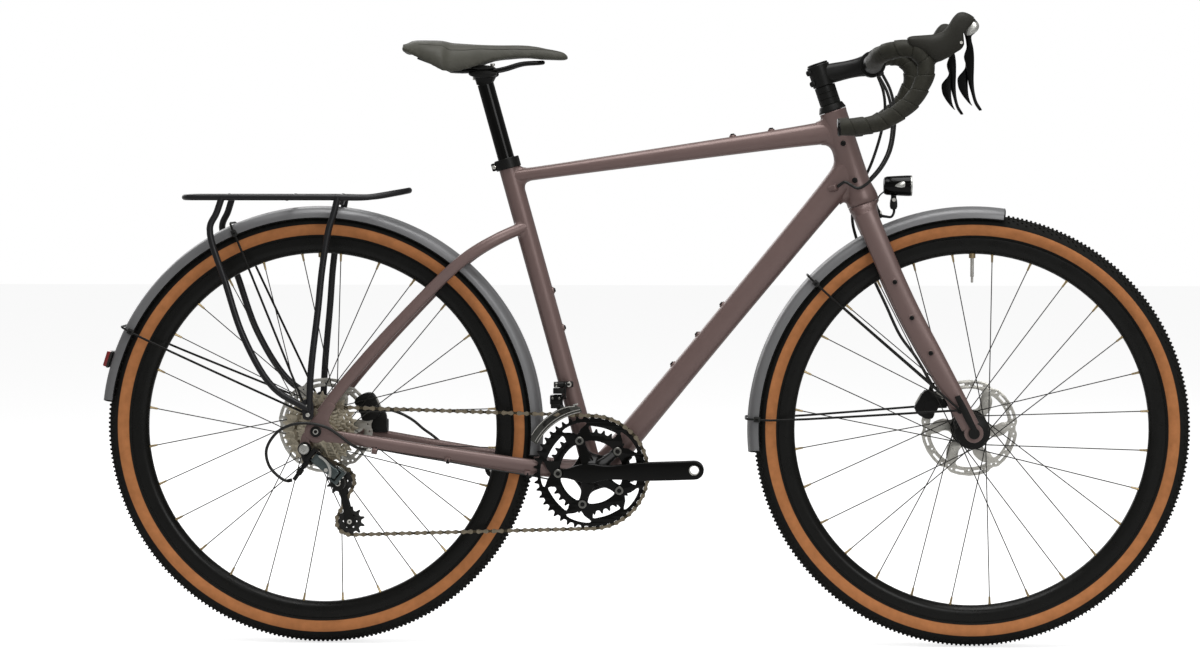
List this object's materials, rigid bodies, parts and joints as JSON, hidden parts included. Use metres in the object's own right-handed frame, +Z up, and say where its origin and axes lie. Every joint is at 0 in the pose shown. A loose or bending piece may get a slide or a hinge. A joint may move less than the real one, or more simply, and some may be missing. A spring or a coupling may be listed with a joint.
{
  "type": "touring bicycle",
  "caption": "Touring bicycle with drop bars, disc brakes, mudguards, rear rack, chain drive with front and rear derailleurs, lights and a padded saddle.",
  "frame": {"origin": "on the ground, in the middle of the object's box", "axes": "+X forward, +Y to the rider's left, +Z up"},
  "size_m": [1.7978, 0.4526, 1.034],
  "materials": {
    "frame_paint": "satin",
    "satin_black": "satin",
    "gloss_black": "gloss",
    "lever_black": "satin",
    "black_rubber": "matte",
    "grip_tape": "matte",
    "saddle_cover": "matte",
    "tyre_rubber": "matte",
    "guard_grey": "satin",
    "cassette_steel": "satin",
    "chain_steel": "satin",
    "mech_alloy": "satin",
    "disc_steel": "brushed",
    "red_lens": "gloss",
    "clear_lens": "gloss"
  },
  "bodies": {
    "frame": {"main_frame": "frame_paint", "seat_clamp": "satin_black", "rear_mudguard": "guard_grey", "rear_mudguard_stays": "satin_black", "rear_rack": "satin_black", "rear_light": "red_lens", "rear_caliper": "satin_black", "rear_axle": "satin_black", "front_derailleur_mount": "mech_alloy", "rear_gear_housing": "black_rubber", "derailleur_mount": "mech_alloy", "chain": "chain_steel"},
    "steering": {"fork": "frame_paint", "headset_cover": "satin_black", "stem": "satin_black", "stem_faceplate": "satin_black", "handlebar": "satin_black", "bar_tape_right": "grip_tape", "bar_tape_left": "grip_tape", "hood_right": "black_rubber", "hood_left": "black_rubber", "front_mudguard": "guard_grey", "front_mudguard_stays": "satin_black", "front_caliper": "satin_black", "front_axle": "satin_black", "headlight_bracket": "satin_black", "front_brake_hose": "black_rubber", "gear_housing_right": "black_rubber", "gear_housing_left": "black_rubber"},
    "front_wheel": {"front_tyre": "tyre_rubber", "front_rim": "satin_black", "front_hub": "satin_black", "front_rotor": "disc_steel"},
    "rear_wheel": {"rear_tyre": "tyre_rubber", "rear_rim": "satin_black", "rear_hub": "satin_black", "rear_rotor": "disc_steel"},
    "cassette": {"cassette": "cassette_steel"},
    "crankset": {"crank_right": "gloss_black", "crank_left": "gloss_black", "chainring_outer": "gloss_black", "chainring_inner": "satin_black"},
    "saddle": {"seatpost": "satin_black", "saddle_rails": "satin_black", "saddle_cushion": "saddle_cover"},
    "brake_lever_right": {"brake_lever_right": "lever_black"},
    "brake_lever_left": {"brake_lever_left": "lever_black"},
    "shift_lever_right": {"shift_lever_right": "lever_black"},
    "shift_lever_left": {"shift_lever_left": "lever_black"},
    "headlight": {"headlight": "lever_black", "headlight_lens": "clear_lens"},
    "derailleur_outer_link": {"derailleur_outer_link": "satin_black"},
    "derailleur_inner_link": {"derailleur_inner_link": "satin_black"},
    "derailleur_knuckle": {"derailleur_knuckle": "mech_alloy"},
    "derailleur_cage": {"derailleur_cage": "satin_black"},
    "guide_pulley": {"guide_pulley": "lever_black"},
    "tension_pulley": {"tension_pulley": "lever_black"},
    "front_derailleur_link": {"front_derailleur_link": "mech_alloy"},
    "front_derailleur_cage": {"front_derailleur_cage": "mech_alloy"}
  },
  "joints": [
    {"name": "steering", "type": "hinge", "parent": "frame", "child": "steering", "pos_m": [0.48712, 0, 0.358], "axis": [-0.3173, 0, 0.9483], "range_deg": [-50, 50], "deforming": ["gear_housing_right", "gear_housing_left"]},
    {"name": "front_wheel_spin", "type": "hinge", "parent": "steering", "child": "front_wheel", "pos_m": [0.5409, 0, 0.358], "axis": [0, 1, 0], "continuous": true},
    {"name": "rear_wheel_spin", "type": "hinge", "parent": "frame", "child": "rear_wheel", "pos_m": [-0.5331, 0, 0.358], "axis": [0, 1, 0], "continuous": true},
    {"name": "crank_spin", "type": "hinge", "parent": "frame", "child": "crankset", "pos_m": [-0.0831, 0, 0.29], "axis": [0, 1, 0], "continuous": true, "deforming": ["chain"]},
    {"name": "cassette_spin", "type": "hinge", "parent": "frame", "child": "cassette", "pos_m": [-0.5331, 0, 0.358], "axis": [0, 1, 0], "continuous": true},
    {"name": "seatpost_slide", "type": "slide", "parent": "frame", "child": "saddle", "axis": [-0.2672, 0, 0.9636], "range_m": [-0.08, 0.04]},
    {"name": "brake_lever_right", "type": "hinge", "parent": "steering", "child": "brake_lever_right", "pos_m": [0.51757, -0.20246, 1.01457], "axis": [0, 1, 0], "range_deg": [0, 20], "stiffness_Nm_per_rad": 0.4, "springref_deg": -28.65},
    {"name": "brake_lever_left", "type": "hinge", "parent": "steering", "child": "brake_lever_left", "pos_m": [0.51757, 0.20246, 1.01457], "axis": [0, 1, 0], "range_deg": [0, 20], "stiffness_Nm_per_rad": 0.4, "springref_deg": -28.65},
    {"name": "shift_lever_right", "type": "hinge", "parent": "brake_lever_right", "child": "shift_lever_right", "pos_m": [0.51263, -0.20246, 0.96183], "axis": [0, 1, 0], "range_deg": [0, 12], "stiffness_Nm_per_rad": 0.05, "springref_deg": -28.65},
    {"name": "shift_lever_left", "type": "hinge", "parent": "brake_lever_left", "child": "shift_lever_left", "pos_m": [0.51263, 0.20246, 0.96183], "axis": [0, 1, 0], "range_deg": [0, 12], "stiffness_Nm_per_rad": 0.05, "springref_deg": -28.65},
    {"name": "headlight_tilt", "type": "hinge", "parent": "steering", "child": "headlight", "pos_m": [0.4119, 0, 0.737], "axis": [0, 1, 0], "range_deg": [-12, 12]},
    {"name": "derailleur_swing", "type": "hinge", "parent": "frame", "child": "derailleur_outer_link", "pos_m": [-0.5341, -0.087, 0.3155], "axis": [0.6258, 0, 0.78], "range_deg": [-19, 19]},
    {"name": "derailleur_inner_swing", "type": "hinge", "parent": "frame", "child": "derailleur_inner_link", "pos_m": [-0.5341, -0.069, 0.3155], "axis": [0.6258, 0, 0.78], "range_deg": [-19, 19]},
    {"name": "derailleur_knuckle_swing", "type": "hinge", "parent": "derailleur_outer_link", "child": "derailleur_knuckle", "pos_m": [-0.49978, -0.087, 0.28797], "axis": [0.6258, 0, 0.78], "range_deg": [-19, 19]},
    {"name": "cage_swing", "type": "hinge", "parent": "derailleur_knuckle", "child": "derailleur_cage", "pos_m": [-0.4965, -0.04525, 0.2739], "axis": [0, 1, 0], "range_deg": [-30, 45], "stiffness_Nm_per_rad": 0.6},
    {"name": "guide_pulley_spin", "type": "hinge", "parent": "derailleur_cage", "child": "guide_pulley", "pos_m": [-0.4965, -0.04525, 0.2739], "axis": [0, 1, 0], "continuous": true},
    {"name": "tension_pulley_spin", "type": "hinge", "parent": "derailleur_cage", "child": "tension_pulley", "pos_m": [-0.48172, -0.04525, 0.20691], "axis": [0, 1, 0], "continuous": true},
    {"name": "front_derailleur_swing", "type": "hinge", "parent": "frame", "child": "front_derailleur_link", "pos_m": [-0.1371, -0.031, 0.433], "axis": [1, 0, 0], "range_deg": [0, 18.5]},
    {"name": "front_cage_swing", "type": "hinge", "parent": "front_derailleur_link", "child": "front_derailleur_cage", "pos_m": [-0.1371, -0.031, 0.413], "axis": [1, 0, 0], "range_deg": [-18.5, 0]}
  ],
  "couplings": [
    {"joint": "cassette_spin", "follows": "crank_spin", "ratio": 2.4211},
    {"joint": "guide_pulley_spin", "follows": "crank_spin", "ratio": -4.1818},
    {"joint": "tension_pulley_spin", "follows": "crank_spin", "ratio": 4.1818},
    {"joint": "derailleur_inner_swing", "follows": "derailleur_swing", "ratio": 1},
    {"joint": "derailleur_knuckle_swing", "follows": "derailleur_swing", "ratio": -1},
    {"joint": "front_cage_swing", "follows": "front_derailleur_swing", "ratio": -1}
  ]
}
